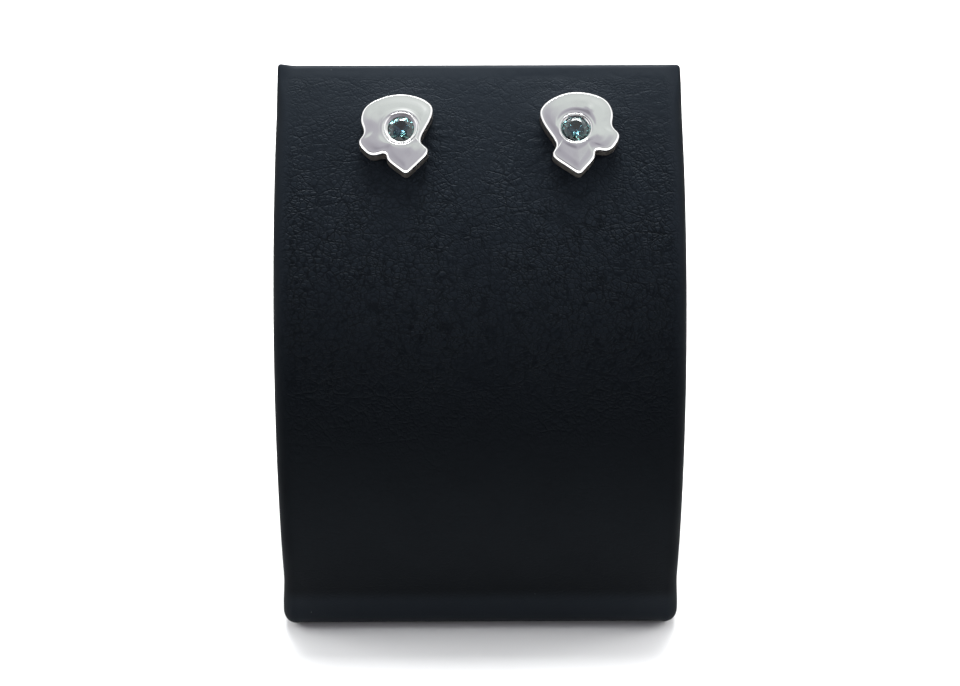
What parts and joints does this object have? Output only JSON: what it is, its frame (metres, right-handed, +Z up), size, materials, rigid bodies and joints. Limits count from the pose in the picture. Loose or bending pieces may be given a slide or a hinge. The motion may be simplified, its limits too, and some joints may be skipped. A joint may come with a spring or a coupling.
{
  "type": "pair of stud earrings on a display stand",
  "caption": "Freeform polished silver stud earrings, each with a deep-set round faceted teal stone, pinned to a curved block stand wrapped in black leatherette.",
  "frame": {"origin": "on the surface that the stand rests on, under the middle of the whole part's box", "axes": "+X to the right as the front is seen, -Y out of the curved front towards the viewer, +Z up"},
  "size_m": [0.05, 0.031, 0.0661],
  "materials": {
    "leatherette": "black, finely creased, semi-matt",
    "silver": "polished",
    "teal_stone": "faceted, polished"
  },
  "bodies": {
    "root": {"stand": "leatherette", "left_stud": "silver", "right_stud": "silver", "left_stone": "teal_stone", "right_stone": "teal_stone"}
  },
  "joints": []
}
